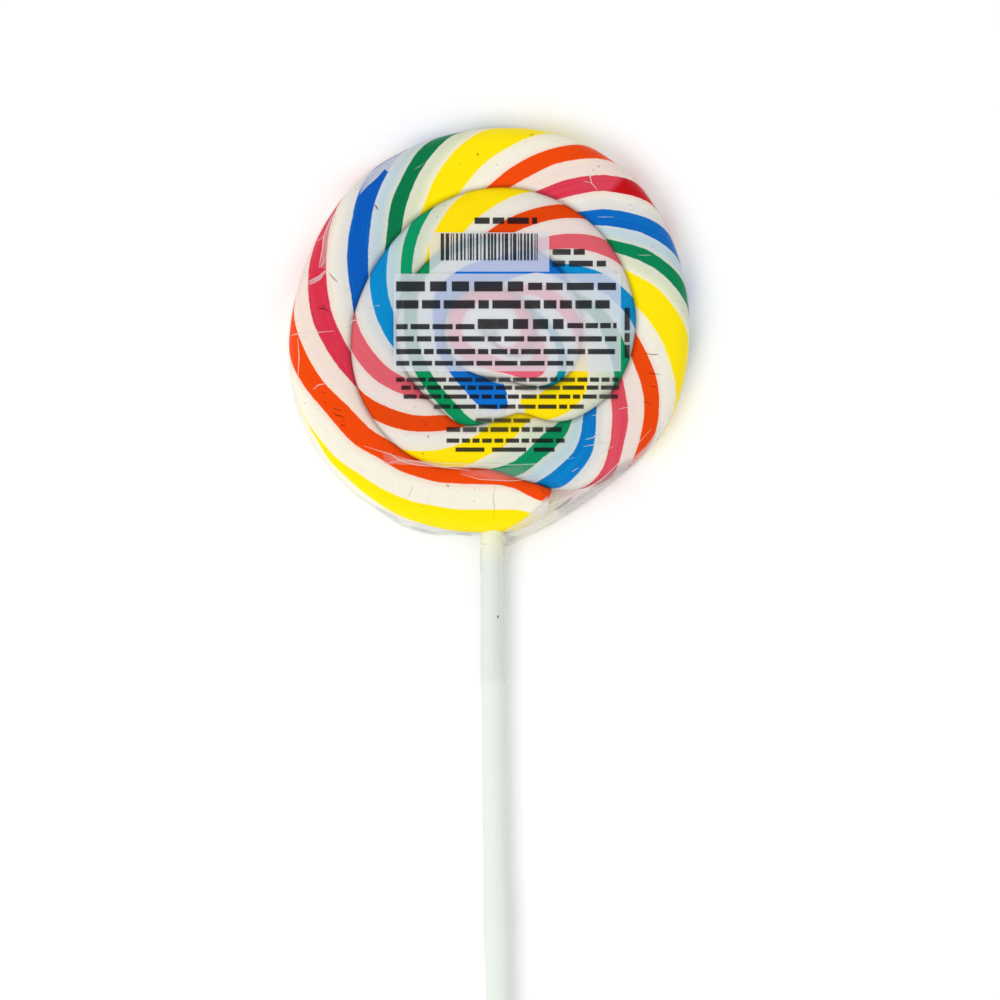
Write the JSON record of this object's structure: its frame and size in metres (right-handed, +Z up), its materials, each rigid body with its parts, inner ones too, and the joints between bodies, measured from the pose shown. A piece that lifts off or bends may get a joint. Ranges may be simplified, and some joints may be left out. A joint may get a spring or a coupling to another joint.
{
  "type": "swirl lollipop",
  "caption": "Flat swirl lollipop: a striped pulled-sugar rope coiled into a disc on a slim paper stick, in a thin clear wrapper gathered at the neck.",
  "frame": {"origin": "middle of the flat spot on the underside of the candy disc, which the lollipop rests on when it lies on its back", "axes": "+Z up out of the shown face of the disc, +Y from the stick towards the far edge of the disc, so the stick points along -Y"},
  "size_m": [0.076, 0.2016, 0.0077],
  "materials": {
    "pulled_sugar": "pulled and twisted boiled sugar, opaque warm white with twisted stripes of yellow, orange, pink, blue and green, satin under its wrapper",
    "rolled_paper": "tightly rolled white paper, smooth and slightly waxy",
    "clear_film": "thin clear glossy wrapping film with fine creases",
    "film_print": "black and translucent white printing ink on film, plain bars and bands with no lettering"
  },
  "bodies": {
    "root": {"candy_swirl": "pulled_sugar", "stick": "rolled_paper", "wrapper": "clear_film"}
  },
  "joints": []
}
